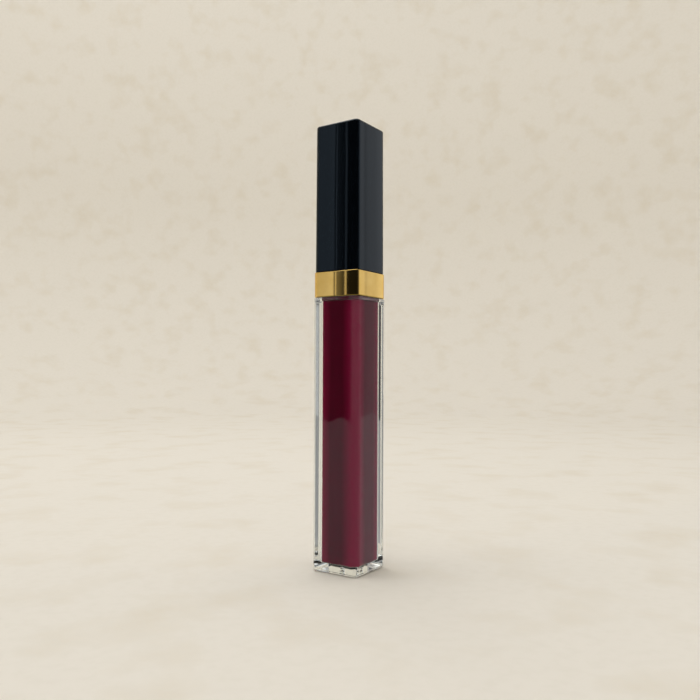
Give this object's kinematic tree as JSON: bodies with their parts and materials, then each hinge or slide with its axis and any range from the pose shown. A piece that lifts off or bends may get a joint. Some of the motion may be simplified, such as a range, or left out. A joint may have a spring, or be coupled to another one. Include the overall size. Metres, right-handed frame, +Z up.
{
  "type": "lip gloss tube",
  "caption": "Slim square clear bottle filled with crimson gloss, closed by a black screw cap with a gold collar that carries a wand with a flocked doe-foot tip.",
  "frame": {"origin": "centre of the bottle's underside", "axes": "+Z up along the tube towards the cap, X and Y square to the bottle's side faces"},
  "size_m": [0.0138, 0.0138, 0.114],
  "materials": {
    "clear_wall": "polished clear moulded plastic",
    "gloss_liquid": "glossy crimson liquid",
    "wiper_plastic": "soft natural polyethylene",
    "seal_foam": "closed-cell foam",
    "cap_black": "high-gloss black",
    "collar_gold": "bright gold, polished",
    "liner_plastic": "natural polypropylene",
    "weight_steel": "turned, zinc-plated",
    "wand_black": "smooth moulded",
    "applicator_core": "flexible elastomer",
    "flock": "short nylon flock, wet with gloss"
  },
  "bodies": {
    "bottle": {"bottle_body": "clear_wall", "neck_insert": "clear_wall", "wiper": "wiper_plastic", "gloss_fill": "gloss_liquid"},
    "seal": {"seal_washer": "seal_foam"},
    "cap": {"cap_shell": "cap_black", "collar_band": "collar_gold", "cap_liner": "liner_plastic", "cap_weight": "weight_steel", "wand_stem": "wand_black", "applicator_core": "applicator_core", "applicator_flock": "flock"}
  },
  "joints": [
    {"name": "cap_lift", "type": "slide", "parent": "bottle", "child": "seal", "axis": [0, 0, 1], "range_m": [0, 0.08]},
    {"name": "cap_turn", "type": "hinge", "parent": "seal", "child": "cap", "pos_m": [0, 0, 0.0801], "axis": [0, 0, 1], "range_deg": [0, 540]}
  ]
}
